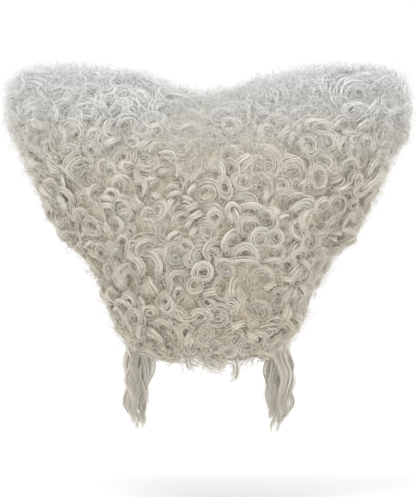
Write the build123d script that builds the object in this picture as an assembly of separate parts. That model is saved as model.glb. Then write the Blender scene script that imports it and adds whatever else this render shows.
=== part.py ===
"""A tall white curly costume wig with two swept-out wings, in millimetres.

The origin is the inside of the crown, where the head carries the wig. +Z is up, -Y is the wearer's
face and +X is the wearer's left. Every layer of the cap is an offset of one head form, and every
block of hair is cut from one rounded heart-shaped envelope.
"""

import math
import os

from build123d import *

# Head form: half an ellipsoid above the ears, and an arc below them that narrows to the neck.
HEAD_HALF_WIDTH = 76.0
HEAD_HALF_DEPTH = 97.0
DOME_HEIGHT = 95.0
LOWER_ARC_RADIUS = 168.6
NECK_LEVEL = -215.0
WIDTH_RATIO = HEAD_HALF_WIDTH / HEAD_HALF_DEPTH
EDGE_STEPS = 8

# Layers of the cap, as distances outward from the head form.
LABEL_LAYER = (-0.7, -0.15)
STAY_LAYER = (-1.1, -0.15)
BINDING_LAYER = (0.0, 0.8)
NET_LAYER = (0.9, 1.5)
TRACK_LAYER = (1.7, 2.7)
HAIR_START = 3.0

# Cap outline seen from the side, as (y, z), with the ear notch between its tab and its back edge.
TEMPLE_TOP = (-70.0, -42.0)
TEMPLE_BOTTOM = (-47.0, -84.0)
TAB_FRONT = (-40.0, -125.0)
TAB_BACK = (-19.0, -125.0)
EAR_FRONT = (-12.0, -97.0)
EAR_BACK = (8.0, -97.0)
NAPE_CORNER = (34.0, -178.0)
OUTLINE_RADII = (12, 14, 5, 5, 8, 10, 16)
BINDING_WIDTH = 9.0
TAB_JOIN_GAP = 0.2
TAB_TOP = -88.0
TAB_BACK_MARGIN = 1.0
STAY_LEVELS = (-121.0, -94.0)
STAY_ANGLES = (-23.0, -19.5)
LABEL_LEVELS = (-132.0, -116.0)
LABEL_ANGLES = (83.0, 97.0)

# Sewn strips that carry the hair: the level of each one's middle.
TRACK_LEVELS = (-9.0, -33.0, -61.0, -103.0, -140.0, -169.0)
TRACK_HEIGHT = 6.0
TRACK_EDGE_MARGIN = 2.0

# Elastic strips up the inside of the back: angles from straight back, and their half width.
STRIP_ANGLES = (-36.0, -12.0, 12.0, 36.0)
STRIP_HALF_ANGLE = 2.2
STRIP_LEVELS = (-166.0, -44.0)

# Hair blocks: the levels and the places to the side that part one from the next.
ROW_LEVELS = (12.0, -38.0, -84.0, -126.0, -164.0)
FRONT_HAIR_BACK = -40.0
WING_INNER = 100.0
WING_OUTER = 152.0

# Outside of the hair, one section per line:
# place to the side, lowest, highest, front, back, and how far the low end is swept towards the nape.
ENVELOPE = (
    (0, -199, 90, -122, 128, 80),
    (30, -197, 94, -120, 127, 78),
    (60, -187, 104, -116, 120, 68),
    (90, -166, 112, -106, 108, 40),
    (112, -118, 116, -96, 98, 10),
    (140, -76, 118, -80, 84, 0),
    (165, -44, 118, -64, 68, 0),
    (185, 0, 116, -48, 52, 0),
    (200, 34, 110, -34, 38, 0),
    (210, 62, 98, -16, 20, 0),
)
SECTION_POINTS = 12
SWEEP_POWER = 4

# Line seen from the side, as (y, z), in front of which the hair leaves the face and throat bare.
FACE_LINE = ((-98, -48), (-62, -90), (-48, -150), (-20, -192), (4, -240))

# Foam pad and spring-wire hoop inside each wing.
PAD_CENTRE = (118.0, 0.0, 53.0)
PAD_RADII = (60.0, 28.0, 37.0)
PAD_ROOM = 0.4
HOOP_RADII = (48.0, 26.0)
HOOP_WIRE_RADIUS = 1.1

# Nape adjusters: conical straps that slide round an upright axis behind the neck.
# Radii are at the straps' lowest level, and grow upward with the slope of the nape.
NAPE_AXIS_Y = 22.0
NAPE_SLOPE = 0.45
STRAP_LEVELS = (-175.0, -167.0)
CASING_RADII = (49.2, 52.6)
CHANNEL_RADII = (49.8, 51.1)
STRAP_RADII = (50.15, 50.75)
PATCH_RADII = (50.8, 51.6)
LOOP_PAD_RADII = (51.9, 52.8)
STRAP_ANGLES = (22.0, 66.0)
PATCH_ANGLES = (22.0, 34.0)
CASING_ANGLES = (45.0, 62.0)
LOOP_PAD_HALF_ANGLE = 30.0
CASING_WALL = 0.85
CHANNEL_ROOM = 0.35
CHANNEL_OVERRUN_ANGLE = 2.0

# Snap clips: a sewn plate with two eyes, and a toothed leaf that turns in them.
CLIP_LENGTH = 26.0
CLIP_HEIGHT = 12.0
CLIP_SHEET = 0.7
CLIP_RAIL = 2.5
CLIP_WINDOW_LENGTH = 16.0
LEAF_LENGTH = 20.0
LEAF_RADIUS = 0.9
PIN_RADIUS = 0.6
PIN_LENGTH = 25.6
PIN_ROOM = 0.05
EYE_RADIUS = 1.4
EYE_WIDTH = 1.6
PIVOT_TO_PLATE = 1.5
TOOTH_COUNT = 7
TOOTH_LENGTH = 9.0
TOOTH_WIDTH = 1.2
TOOTH_THICKNESS = 0.8
SEWING_HOLE_RADIUS = 0.5
FRONT_CLIP_LEVEL = -39.0
FRONT_CLIP_DEPTH = 4.9
SIDE_CLIP_LEVEL = -84.0
SIDE_CLIP_DEPTH = 3.4

# Long locks that hang in front of the shoulders, and the point that each one swings about.
TRESS_PIVOT = (71.0, -78.0, -90.0)
TRESS_TOP_RADII = (11.0, 9.0)
TRESS_SECTIONS = (
    # distance below the pivot, place to the side, half width, half depth
    (20, 73, 13, 9.0),
    (55, 77, 16, 9.0),
    (95, 75, 17, 9.0),
    (130, 78, 16, 8.5),
    (165, 76, 12, 7.0),
    (188, 78, 5, 3.5),
)
TRESS_TRACK_LEVEL = -72.0
TRESS_TRACK_ANGLES = (-31.0, -19.0)

FAR = 300.0


# --- head form ------------------------------------------------------------------------------------


def form_radius(z, grow=0.0):
    """Half depth of the head form at a level, moved outward by grow."""
    if z >= -DOME_HEIGHT:
        rise = (z + DOME_HEIGHT) / (DOME_HEIGHT + grow)
        return (HEAD_HALF_DEPTH + grow) * math.sqrt(1 - rise**2)
    reach = LOWER_ARC_RADIUS + grow
    return HEAD_HALF_DEPTH - LOWER_ARC_RADIUS + math.sqrt(reach**2 - (z + DOME_HEIGHT) ** 2)


def form_lean(z):
    """Degrees by which the head form's side leans inward at a level."""
    return -math.degrees(math.atan(form_radius(z + 0.5) - form_radius(z - 0.5)))


def widen_to_head(shape):
    """Turns a round form into the head's, which is narrower from side to side."""
    return scale(shape, by=(WIDTH_RATIO, 1, 1))


def form_curve(grow):
    """The head form's outline from the crown down to the neck, in the plane of X and Z."""
    radii = (HEAD_HALF_DEPTH + grow, DOME_HEIGHT + grow)
    dome = EllipticalCenterArc((0, -DOME_HEIGHT), *radii, start_angle=0, arc_size=90)
    levels = (-DOME_HEIGHT, (NECK_LEVEL - DOME_HEIGHT) / 2, NECK_LEVEL)
    lower = ThreePointArc(*[(form_radius(z, grow), z) for z in levels])
    return [dome.edge(), lower.edge()]


def form_edge(grow, low, high):
    """A stretch of the head form's outline between two levels, in the plane of X and Z."""
    levels = [low + (high - low) * step / EDGE_STEPS for step in range(EDGE_STEPS + 1)]
    return Spline(*[(form_radius(z, grow), z) for z in levels]).edge()


def line_between(start, end):
    return Edge.make_line(start, end)


def head_solid(grow):
    """The head and the top of the neck, moved outward by grow."""
    foot = (form_radius(NECK_LEVEL, grow), NECK_LEVEL)
    floor = line_between(foot, (0, NECK_LEVEL))
    axis = line_between((0, NECK_LEVEL), (0, grow))
    face = Plane.XZ * Face(Wire([*form_curve(grow), floor, axis]))
    return widen_to_head(revolve(face, axis=Axis.Z))


def head_shell(layer):
    """A thin shell round the whole head form."""
    inner, outer = layer
    feet = [(form_radius(NECK_LEVEL, grow), NECK_LEVEL) for grow in layer]
    ends = [line_between(*feet), line_between((0, outer), (0, inner))]
    face = Plane.XZ * Face(Wire([*form_curve(inner), *form_curve(outer), *ends]))
    return widen_to_head(revolve(face, axis=Axis.Z))


def cap_strip(layer, levels, start, end):
    """A strip on the head form between two levels, from one angle to another counted from +X."""
    sides = [form_edge(grow, *levels) for grow in layer]
    ends = [line_between(*[(form_radius(z, grow), z) for grow in layer]) for z in levels]
    face = Rot(0, 0, start) * (Plane.XZ * Face(Wire([*sides, *ends])))
    return widen_to_head(revolve(face, axis=Axis.Z, revolution_arc=end - start))


def block(x=(-FAR, FAR), y=(-FAR, FAR), z=(-FAR, FAR)):
    """A box between two places on each axis."""
    size = [high - low for low, high in (x, y, z)]
    middle = [(low + high) / 2 for low, high in (x, y, z)]
    return Pos(*middle) * Box(*size)


def mirror_x(shape):
    return mirror(shape, about=Plane.YZ)


def both_sides(name, left_shape):
    """The same piece on the wearer's left and right, as two nodes."""
    return {f"{name}_left": left_shape, f"{name}_right": mirror_x(left_shape)}


# --- cap ------------------------------------------------------------------------------------------


def cap_region(inset=0.0):
    """The stretch of the head that the cap covers, as a block whose outline is seen from the side."""
    forehead, nape = TEMPLE_TOP[1], NAPE_CORNER[1]
    corners = (TEMPLE_TOP, TEMPLE_BOTTOM, TAB_FRONT, TAB_BACK, EAR_FRONT, EAR_BACK, NAPE_CORNER)
    lower = FilletPolyline((-FAR, forehead), *corners, (FAR, nape), radius=OUTLINE_RADII)
    upper = Polyline((FAR, nape), (FAR, FAR), (-FAR, FAR), (-FAR, forehead))
    outline = make_face(lower + upper)
    if inset:
        outline = offset(outline, -inset)
    return extrude(Plane.YZ * outline, FAR, both=True)


def cap_parts():
    region = cap_region()
    binding = head_shell(BINDING_LAYER)
    rim = binding & (region - cap_region(BINDING_WIDTH))
    tab_front, tab_back = TEMPLE_BOTTOM[0], EAR_FRONT[0] + TAB_BACK_MARGIN
    tab_block = block(x=(0, FAR), y=(tab_front + TAB_JOIN_GAP, tab_back - TAB_JOIN_GAP), z=(-FAR, TAB_TOP))
    stay = cap_strip(STAY_LAYER, STAY_LEVELS, *STAY_ANGLES)
    strips = [
        cap_strip(BINDING_LAYER, STRIP_LEVELS, 90 + angle - STRIP_HALF_ANGLE, 90 + angle + STRIP_HALF_ANGLE)
        for angle in STRIP_ANGLES
    ]
    return {
        "crown_net": head_shell(NET_LAYER) & region,
        "front_band": rim & block(y=(-FAR, tab_front)),
        "nape_band": rim & block(y=(tab_back, FAR)),
        "back_elastic_strips": Compound(strips),
        "blank_label": cap_strip(LABEL_LAYER, LABEL_LEVELS, *LABEL_ANGLES),
        **both_sides("ear_tab", binding & region & tab_block),
        **both_sides("ear_stay", stay),
    }


def track_span(level):
    """Degrees on each side of straight back that a track covers before it meets the cap's edge."""
    if level > TEMPLE_TOP[1]:
        return 180.0
    if level > EAR_BACK[1]:
        top, bottom = TEMPLE_TOP, TEMPLE_BOTTOM
    else:
        top, bottom = EAR_BACK, NAPE_CORNER
    share = (top[1] - level) / (top[1] - bottom[1])
    edge = top[0] + share * (bottom[0] - top[0]) + TRACK_EDGE_MARGIN
    return 90 - math.degrees(math.asin(edge / form_radius(level)))


def track_parts():
    """The sewn strips that the hair is machined to, in rings round the crown and rows below it."""
    parts = {}
    for number, level in enumerate(TRACK_LEVELS, start=1):
        levels = (level - TRACK_HEIGHT / 2, level + TRACK_HEIGHT / 2)
        lowest_span = min(track_span(z) for z in levels)
        parts[f"weft_track_{number}"] = cap_strip(TRACK_LAYER, levels, 90 - lowest_span, 90 + lowest_span)
    return parts


# --- nape adjusters -------------------------------------------------------------------------------


def nape_sector(radii, levels, angles):
    """A piece of a cone round the nape axis, at angles from straight back towards the wearer's left."""
    inner, outer = radii
    corners = []
    for radius, z in ((inner, levels[0]), (outer, levels[0]), (outer, levels[1]), (inner, levels[1])):
        corners.append((radius + NAPE_SLOPE * (z - STRAP_LEVELS[0]), z))
    face = Rot(0, 0, 90 - angles[1]) * (Plane.XZ * make_face(Polyline(*corners, close=True)))
    return Pos(0, NAPE_AXIS_Y, 0) * revolve(face, axis=Axis.Z, revolution_arc=angles[1] - angles[0])


def adjuster_parts():
    channel_levels = (STRAP_LEVELS[0] - CHANNEL_ROOM, STRAP_LEVELS[1] + CHANNEL_ROOM)
    casing_levels = (channel_levels[0] - CASING_WALL, channel_levels[1] + CASING_WALL)
    through = (CASING_ANGLES[0] - CHANNEL_OVERRUN_ANGLE, CASING_ANGLES[1] + CHANNEL_OVERRUN_ANGLE)
    casing = nape_sector(CASING_RADII, casing_levels, CASING_ANGLES)
    casing -= nape_sector(CHANNEL_RADII, channel_levels, through)
    loop_angles = (-LOOP_PAD_HALF_ANGLE, LOOP_PAD_HALF_ANGLE)
    return {
        "loop_pad": nape_sector(LOOP_PAD_RADII, STRAP_LEVELS, loop_angles),
        **both_sides("adjuster_strap", nape_sector(STRAP_RADII, STRAP_LEVELS, STRAP_ANGLES)),
        **both_sides("hook_patch", nape_sector(PATCH_RADII, STRAP_LEVELS, PATCH_ANGLES)),
        **both_sides("strap_casing", casing),
    }


# --- snap clips -----------------------------------------------------------------------------------


def clip_plate():
    """The sewn plate, with its pivot along X at the origin and the cap on its +Y side."""
    above_pivot = CLIP_HEIGHT / 2 - EYE_RADIUS
    plate = Pos(0, PIVOT_TO_PLATE, above_pivot) * Box(CLIP_LENGTH, CLIP_SHEET, CLIP_HEIGHT)
    plate -= Pos(0, PIVOT_TO_PLATE, above_pivot) * Box(
        CLIP_WINDOW_LENGTH, 2 * CLIP_SHEET, CLIP_HEIGHT - 2 * CLIP_RAIL
    )
    eye_x = (CLIP_LENGTH - EYE_WIDTH) / 2
    for x in (-eye_x, eye_x):
        hole = Rot(90, 0, 0) * Cylinder(SEWING_HOLE_RADIUS, 2 * CLIP_SHEET)
        bore = Rot(0, 90, 0) * Cylinder(PIN_RADIUS + PIN_ROOM, 2 * EYE_WIDTH)
        eye = Rot(0, 90, 0) * Cylinder(EYE_RADIUS, EYE_WIDTH)
        web = Pos(0, PIVOT_TO_PLATE / 2, 0) * Box(EYE_WIDTH, PIVOT_TO_PLATE, 2 * EYE_RADIUS)
        plate -= Pos(x, PIVOT_TO_PLATE, 2 * above_pivot - EYE_RADIUS / 2) * hole
        plate += Pos(x, 0, 0) * (eye + web)
        plate -= Pos(x, 0, 0) * bore
    return plate


def clip_leaf():
    """The toothed leaf on its pins, along X at the origin, with its teeth up as when closed."""
    leaf = Rot(0, 90, 0) * Cylinder(LEAF_RADIUS, LEAF_LENGTH)
    leaf += Rot(0, 90, 0) * Cylinder(PIN_RADIUS, PIN_LENGTH)
    pitch = (LEAF_LENGTH - TOOTH_WIDTH) / (TOOTH_COUNT - 1)
    for number in range(TOOTH_COUNT):
        x = (number - (TOOTH_COUNT - 1) / 2) * pitch
        leaf += Pos(x, 0, TOOTH_LENGTH / 2) * Box(TOOTH_WIDTH, TOOTH_THICKNESS, TOOTH_LENGTH)
    return leaf


def clip_parts():
    front_place = Pos(0, FRONT_CLIP_DEPTH - form_radius(FRONT_CLIP_LEVEL), FRONT_CLIP_LEVEL)
    front_place *= Rot(-form_lean(FRONT_CLIP_LEVEL), 0, 0) * Rot(0, 0, 180)
    side_x = WIDTH_RATIO * form_radius(SIDE_CLIP_LEVEL) - SIDE_CLIP_DEPTH
    side_place = Pos(side_x, 0, SIDE_CLIP_LEVEL) * Rot(0, 0, -90)
    side_place *= Rot(WIDTH_RATIO * form_lean(SIDE_CLIP_LEVEL), 0, 0)
    return {
        "front_clip_plate": front_place * clip_plate(),
        "front_clip_leaf": front_place * clip_leaf(),
        **both_sides("side_clip_plate", side_place * clip_plate()),
        **both_sides("side_clip_leaf", side_place * clip_leaf()),
    }


# --- wing supports --------------------------------------------------------------------------------


def wing_pad(grow=0.0):
    """An ellipsoid of foam, made round about X and then stretched to its height."""
    half_length, half_depth, half_height = [radius + grow for radius in PAD_RADII]
    arc = EllipticalCenterArc((0, 0), half_length, half_depth, start_angle=0, arc_size=180)
    half_outline = make_face(arc + Line((-half_length, 0), (half_length, 0)))
    stretched = scale(revolve(half_outline, axis=Axis.X), by=(1, 1, half_height / half_depth))
    return Pos(*PAD_CENTRE) * stretched


def wing_hoop():
    plane = Plane(origin=PAD_CENTRE, x_dir=(1, 0, 0), z_dir=(0, -1, 0))
    path = (plane * Ellipse(*HOOP_RADII)).edges()[0]
    section = Plane(origin=path @ 0, z_dir=path % 0) * Circle(HOOP_WIRE_RADIUS)
    return sweep(section, path=path)


def wing_parts():
    hoop = wing_hoop()
    return {
        **both_sides("wing_pad", wing_pad() - hoop),
        **both_sides("wing_hoop", hoop),
    }


# --- hair -----------------------------------------------------------------------------------------


def hair_section(x, low, high, front, back, sweep_back):
    """One closed outline across the hair, an ellipse whose low end is swept towards the nape."""
    points = []
    for number in range(SECTION_POINTS):
        angle = 2 * math.pi * number / SECTION_POINTS
        y = (front + back) / 2 + (back - front) / 2 * math.cos(angle)
        z = (low + high) / 2 + (high - low) / 2 * math.sin(angle)
        y += sweep_back * max(0, -math.sin(angle)) ** SWEEP_POWER
        points.append((y, z))
    plane = Plane(origin=(x, 0, 0), x_dir=(0, 1, 0), z_dir=(1, 0, 0))
    return plane * make_face(Spline(*points, periodic=True))


def hair_envelope():
    """The rounded heart-shaped outside of all the hair, widest at the wing tips."""
    right_side = [(-x, *rest) for x, *rest in reversed(ENVELOPE[1:])]
    return loft([hair_section(*line) for line in (*right_side, *ENVELOPE)])


def face_opening():
    """What is bare in front of the face, the cheeks and the throat."""
    (first_y, first_z), (last_y, last_z) = FACE_LINE[0], FACE_LINE[-1]
    outline = Polyline((-FAR, first_z), *FACE_LINE, (-FAR, last_z), close=True)
    return extrude(Plane.YZ * make_face(outline), FAR, both=True)


def hair_parts():
    hair = hair_envelope() - head_solid(HAIR_START) - face_opening()
    pad_space = wing_pad(PAD_ROOM)
    middle = (-WING_INNER, WING_INNER)
    top = ROW_LEVELS[0]
    parts = {
        "crown_hair": (hair & block(x=middle, z=(top, FAR))) - pad_space - mirror_x(pad_space),
        "front_hair": hair & block(x=middle, y=(-FAR, FRONT_HAIR_BACK), z=(-FAR, top)),
    }
    levels = (*ROW_LEVELS, -FAR)
    for number, (upper, lower) in enumerate(zip(levels[:-1], levels[1:]), start=1):
        parts[f"hair_row_{number}"] = hair & block(x=middle, y=(FRONT_HAIR_BACK, FAR), z=(lower, upper))
    parts |= both_sides("wing_hair", (hair & block(x=(WING_INNER, WING_OUTER))) - pad_space)
    parts |= both_sides("wing_tip_hair", (hair & block(x=(WING_OUTER, FAR))) - pad_space)
    return parts


def tress_parts():
    x, y, z = TRESS_PIVOT
    half_width, half_depth = TRESS_TOP_RADII
    sections = [Pos(x, y, z) * Ellipse(half_width, half_depth)]
    for drop, place, *radii in TRESS_SECTIONS:
        sections.append(Pos(place, y, z - drop) * Ellipse(*radii))
    rounded_top = Pos(x, y, z) * scale(Sphere(1), by=(half_width, half_depth, half_depth))
    lock = loft(sections) + (rounded_top & block(z=(z, FAR)))
    levels = (TRESS_TRACK_LEVEL - TRACK_HEIGHT / 2, TRESS_TRACK_LEVEL + TRACK_HEIGHT / 2)
    return {
        **both_sides("tress", lock),
        **both_sides("tress_track", cap_strip(TRACK_LAYER, levels, *TRESS_TRACK_ANGLES)),
    }


def main():
    os.makedirs("parts", exist_ok=True)
    makers = (cap_parts, track_parts, adjuster_parts, clip_parts, wing_parts, hair_parts, tress_parts)
    for make in makers:
        for name, shape in make().items():
            export_step(shape, f"parts/{name}.step")


main()
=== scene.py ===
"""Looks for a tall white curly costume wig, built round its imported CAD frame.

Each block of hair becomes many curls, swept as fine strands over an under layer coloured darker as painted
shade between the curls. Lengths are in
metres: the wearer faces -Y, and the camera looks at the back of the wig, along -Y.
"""

import math

import bmesh
import bpy
import numpy as np
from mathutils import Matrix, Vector
from mathutils.bvhtree import BVHTree


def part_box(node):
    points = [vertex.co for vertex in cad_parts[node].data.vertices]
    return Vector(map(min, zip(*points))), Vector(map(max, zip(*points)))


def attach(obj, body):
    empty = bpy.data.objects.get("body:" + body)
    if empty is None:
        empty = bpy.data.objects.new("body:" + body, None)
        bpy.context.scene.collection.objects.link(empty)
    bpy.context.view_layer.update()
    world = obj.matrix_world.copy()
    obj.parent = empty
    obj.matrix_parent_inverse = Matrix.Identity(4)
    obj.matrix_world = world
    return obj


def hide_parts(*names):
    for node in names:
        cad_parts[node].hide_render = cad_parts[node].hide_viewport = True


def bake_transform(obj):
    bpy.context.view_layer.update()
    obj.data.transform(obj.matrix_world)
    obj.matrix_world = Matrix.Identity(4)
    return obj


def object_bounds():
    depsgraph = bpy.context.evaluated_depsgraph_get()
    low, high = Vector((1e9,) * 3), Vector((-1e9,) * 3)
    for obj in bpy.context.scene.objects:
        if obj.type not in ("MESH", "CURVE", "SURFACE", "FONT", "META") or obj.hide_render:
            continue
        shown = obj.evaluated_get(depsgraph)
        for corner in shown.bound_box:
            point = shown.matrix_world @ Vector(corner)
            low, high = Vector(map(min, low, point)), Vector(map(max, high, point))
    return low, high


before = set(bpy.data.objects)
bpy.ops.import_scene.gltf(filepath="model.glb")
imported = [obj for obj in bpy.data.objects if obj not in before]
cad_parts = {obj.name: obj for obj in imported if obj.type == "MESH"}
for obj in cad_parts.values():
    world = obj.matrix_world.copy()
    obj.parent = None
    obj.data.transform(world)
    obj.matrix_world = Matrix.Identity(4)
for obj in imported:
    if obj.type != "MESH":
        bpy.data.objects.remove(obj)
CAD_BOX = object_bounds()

MM = 0.001
BODY = "wig"

# The head form that the cap is made to: an ellipsoid, and below its middle an arc.
HEAD_RADII = np.array((76.0, 97.0, 95.0)) * MM
HEAD_CENTRE = np.array((0.0, 0.0, -95.0)) * MM
HEAD_LOWER_ARC = 168.6 * MM
HEAD_MEAN_RADIUS = 85.0 * MM
FORM_LOWEST = -0.2
DOME_SAMPLES, LOWER_SAMPLES, ARC_SAMPLES = 400, 300, 600
NECK_LEVEL = -215.0 * MM

# How far out from the head form the cap's layers lie, and how far the hair stays from it.
NET_LAYER = 1.2 * MM
STRIP_LAYER = -0.05 * MM
TRACK_LAYER = 1.62 * MM
CAP_SIDE_GAP = 4.5 * MM
HAIR_CLEARANCE = 3.4 * MM

CURLY_NODES = (
    "crown_hair", "front_hair",
    "hair_row_1", "hair_row_2", "hair_row_3", "hair_row_4", "hair_row_5",
    "wing_hair_left", "wing_hair_right", "wing_tip_hair_left", "wing_tip_hair_right",
)
JOIN_TOLERANCE = 0.1 * MM
PAD_MARGIN = 1.08

# Heights over which the hair turns from curly to combed out, and painted light lightens it upward; over
# which its colour turns whiter; and over which painted shade darkens it to the nape.
WING_START, WING_SPAN = -0.02, 0.1
WHITE_START, WHITE_FULL = 0.02, 0.10
NAPE_SHADE_START, NAPE_SHADE_SPAN = -0.03, 0.13

# How far the lowest curls are drawn up, and over which heights.
NAPE_LIFT = 11.0 * MM
NAPE_LIFT_START = -165.0 * MM
NAPE_LIFT_SPAN = 35.0 * MM

# Curls: the shares are of ringlets seen end on, ringlets on their side, and open waves.
CURL_SPACING = 14.0 * MM
CURL_SHARES = (0.58, 0.2, 0.22)
CURL_STRANDS = 21
CURL_STEPS = 20
CURL_STRAND_RADIUS = 0.31 * MM
CLUSTER_SIZE = 22.0 * MM
CLUSTER_HEIGHT = 2.0 * MM

# Curls are moved in under the skin by at least and at most this much, and by the sharpness of its
# bend within reach times the rate in between.
SHARP_REACH = 22.0 * MM
SETTLE_LEAST, SETTLE_RATE, SETTLE_MOST = 1.5, 26, 8

# Beneath and between the curls: matted strands at a share of the under layer's depth, loose fibres,
# and the under layer, which keeps close to the CAD skin where that faces the cap.
MAT_SPACING = 3.9 * MM
MAT_DEPTH = 0.75
MAT_STEPS = 9
MAT_RADIUS = 0.3 * MM
FRIZZ_COUNT = 26000
FRIZZ_STEPS = 6
FRIZZ_RADIUS = 0.14 * MM
UNDER_DEPTH = 10.5 * MM
UNDER_CAP_DEPTH = 0.4 * MM
UNDER_BUMP = 1.6 * MM
UNDER_VOXEL = 4.0 * MM

TRESS_STRANDS = 520
TRESS_CLUMPS = 17
TRESS_LEVELS = 30
TRESS_STEPS = 36
TRESS_STRAND_RADIUS = 0.36 * MM

NET_PITCH = 3.8 * MM
NET_REACH = 210 * MM
NET_THREAD_RADIUS = 0.28 * MM
RIB_RADIUS = 0.3 * MM
THREAD_RADIUS = 0.2 * MM
STITCH_LENGTH = 1.9 * MM
STITCH_GAP = 1.1 * MM
STITCH_INSET = 1.8 * MM
SHORTEST_SEAM = 8 * MM
ZIGZAG_WIDTH = 1.6 * MM
SHARP_EDGE = 0.9

# Touch fastener piles: so short that the hooks slide over the loops without running into them.
PILE_RADIUS = 0.05 * MM
LOOP_SPACING, LOOP_HEIGHT = 0.8 * MM, 0.14 * MM
HOOK_SPACING, HOOK_HEIGHT = 1.0 * MM, 0.13 * MM

# Each strand is a tube with this many sides, and no piece has more triangles than this.
SIDES = 3
MOST_TRIANGLES = 180000

# How far the floor lies below the wig, which hangs in the air as if on a bust.
FLOOR_DROP = 0.06

# Seeds of the random draws, and of the smooth noise fields.
CURL_SEED, FRIZZ_SEED, TRESS_SEED = 100, 77, 300
BUMP_FIELD, UNDER_TONE_FIELD, CLUSTER_FIELD, TONE_FIELD, SWAY_FIELD, RIPPLE_FIELD = 31, 32, 41, 42, 43, 44


# --- helpers --------------------------------------------------------------------------------------


def unit(vectors):
    """The vectors at length 1."""
    length = np.linalg.norm(vectors, axis=-1, keepdims=True)
    return vectors / np.maximum(length, 1e-12)


def across(vectors, rng):
    """A random unit vector at right angles to each of the given ones."""
    return unit(np.cross(vectors, rng.normal(size=vectors.shape)))


def smooth_noise(points, seed, scale):
    """A smooth field of three numbers, each about -1 to 1, that varies over about the given length."""
    rng = np.random.default_rng(seed)
    total = np.zeros(points.shape)
    for _ in range(4):
        waves = rng.normal(size=(3, 3)) / scale
        total += np.sin(points @ waves + rng.uniform(0, 2 * math.pi, 3))
    return total / 2


def triangle_cross(triangles):
    """Each triangle's normal at twice the length of its area."""
    return np.cross(triangles[:, 1] - triangles[:, 0], triangles[:, 2] - triangles[:, 0])


def polygon_lists(triangles):
    """All corners as one list of places, and each triangle's three numbers in that list."""
    numbers = np.arange(len(triangles) * 3).reshape(-1, 3)
    return triangles.reshape(-1, 3).tolist(), numbers.tolist()


def wing_share(heights):
    """0 where the hair is curly, rising to 1 where it is combed out in the wings."""
    return np.clip((heights - WING_START) / WING_SPAN, 0, 1)


def new_object(name, data):
    """An object in the scene."""
    item = bpy.data.objects.new(name, data)
    bpy.context.scene.collection.objects.link(item)
    return item


# --- surface --------------------------------------------------------------------------------------


def form_depth(z):
    """Half depth of the head form at a height."""
    drop = z - HEAD_CENTRE[2]
    dome = HEAD_RADII[1] * np.sqrt(np.clip(1 - (drop / HEAD_RADII[2]) ** 2, 0, 1))
    lower = HEAD_RADII[1] - HEAD_LOWER_ARC + np.sqrt(HEAD_LOWER_ARC**2 - np.minimum(drop, 0) ** 2)
    return np.where(drop > 0, dome, lower)


def head_gap(points):
    """About how far each point lies outside the head form."""
    over = np.linalg.norm((points - HEAD_CENTRE) / HEAD_RADII, axis=1)
    depth = form_depth(np.clip(points[:, 2], HEAD_CENTRE[2] - 0.14, HEAD_CENTRE[2]))
    below = np.hypot(points[:, 0] * HEAD_RADII[1] / HEAD_RADII[0], points[:, 1]) / depth
    ratio = np.where(points[:, 2] > HEAD_CENTRE[2], over, below)
    return (ratio - 1) * HEAD_MEAN_RADIUS


def clear_of_head(points):
    """The points with any that lie within the cap's layers moved out of them, a little past the edge."""
    flat = points.reshape(-1, 3)
    short = np.maximum(HAIR_CLEARANCE - head_gap(flat), 0) * (flat[:, 2] > NECK_LEVEL)
    out = flat - HEAD_CENTRE
    out[:, 2] = np.maximum(out[:, 2], 0)
    return (flat + unit(out / HEAD_RADII**2) * 1.1 * short[:, None]).reshape(points.shape)


def lifted(points):
    """The points with the lowest ones drawn up, so that the nape's curls end at its edge."""
    low = np.clip((NAPE_LIFT_START - points[:, 2:]) / NAPE_LIFT_SPAN, 0, 1)
    return points + NAPE_LIFT * low * (0, 0, 1)


def form_points(arc, angle, grow):
    """Points by their distance from the crown along the head form and their angle from +X.

    They lie outside the form by the length grow.
    """
    middle = HEAD_CENTRE[2]
    dome = np.linspace(0, 1, DOME_SAMPLES) ** 2 * middle
    z = np.concatenate((dome, np.linspace(middle - 0.1 * MM, FORM_LOWEST, LOWER_SAMPLES)))
    depth = form_depth(z)
    length = np.concatenate(((0,), np.cumsum(np.hypot(np.diff(depth), np.diff(z)))))
    depth, z = np.interp(arc, length, depth), np.interp(arc, length, z)
    width = depth * HEAD_RADII[0] / HEAD_RADII[1]
    points = np.stack((width * np.cos(angle), depth * np.sin(angle), z), axis=-1)
    rise = np.maximum(points[..., 2:] - HEAD_CENTRE[2], 0)
    out = points * (1, 1, 0) / HEAD_RADII**2
    out[..., 2:] = rise / HEAD_RADII[2] ** 2
    return points + unit(out) * grow


def level_to_arc(z):
    """Distance from the crown along the head form to a height."""
    levels = np.linspace(-0.2 * MM, z, ARC_SAMPLES)
    return np.hypot(np.diff(form_depth(levels)), np.diff(levels)).sum() + form_depth(levels[0])


def node_tree(name):
    """A node's surface, to measure distances to."""
    return BVHTree.FromPolygons(*polygon_lists(node_triangles(name)))


def node_triangles(name):
    """The corners of a CAD node's triangles, as an array of (triangle, corner, axis)."""
    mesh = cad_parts[name].data
    mesh.calc_loop_triangles()
    places = np.empty(len(mesh.vertices) * 3, np.float32)
    mesh.vertices.foreach_get("co", places)
    corners = np.empty(len(mesh.loop_triangles) * 3, np.int32)
    mesh.loop_triangles.foreach_get("vertices", corners)
    return places.reshape(-1, 3).astype(float)[corners.reshape(-1, 3)]


def cut_planes():
    """The planes that part one block of hair from the next, as (axis, place)."""
    planes = [(2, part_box(f"hair_row_{number}")[1].z) for number in range(1, 6)]
    planes.append((1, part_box("front_hair")[1].y))
    for side in ("left", "right"):
        for name in (f"wing_hair_{side}", f"wing_tip_hair_{side}"):
            low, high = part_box(name)
            planes.append((0, low.x if side == "left" else high.x))
    return planes


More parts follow.
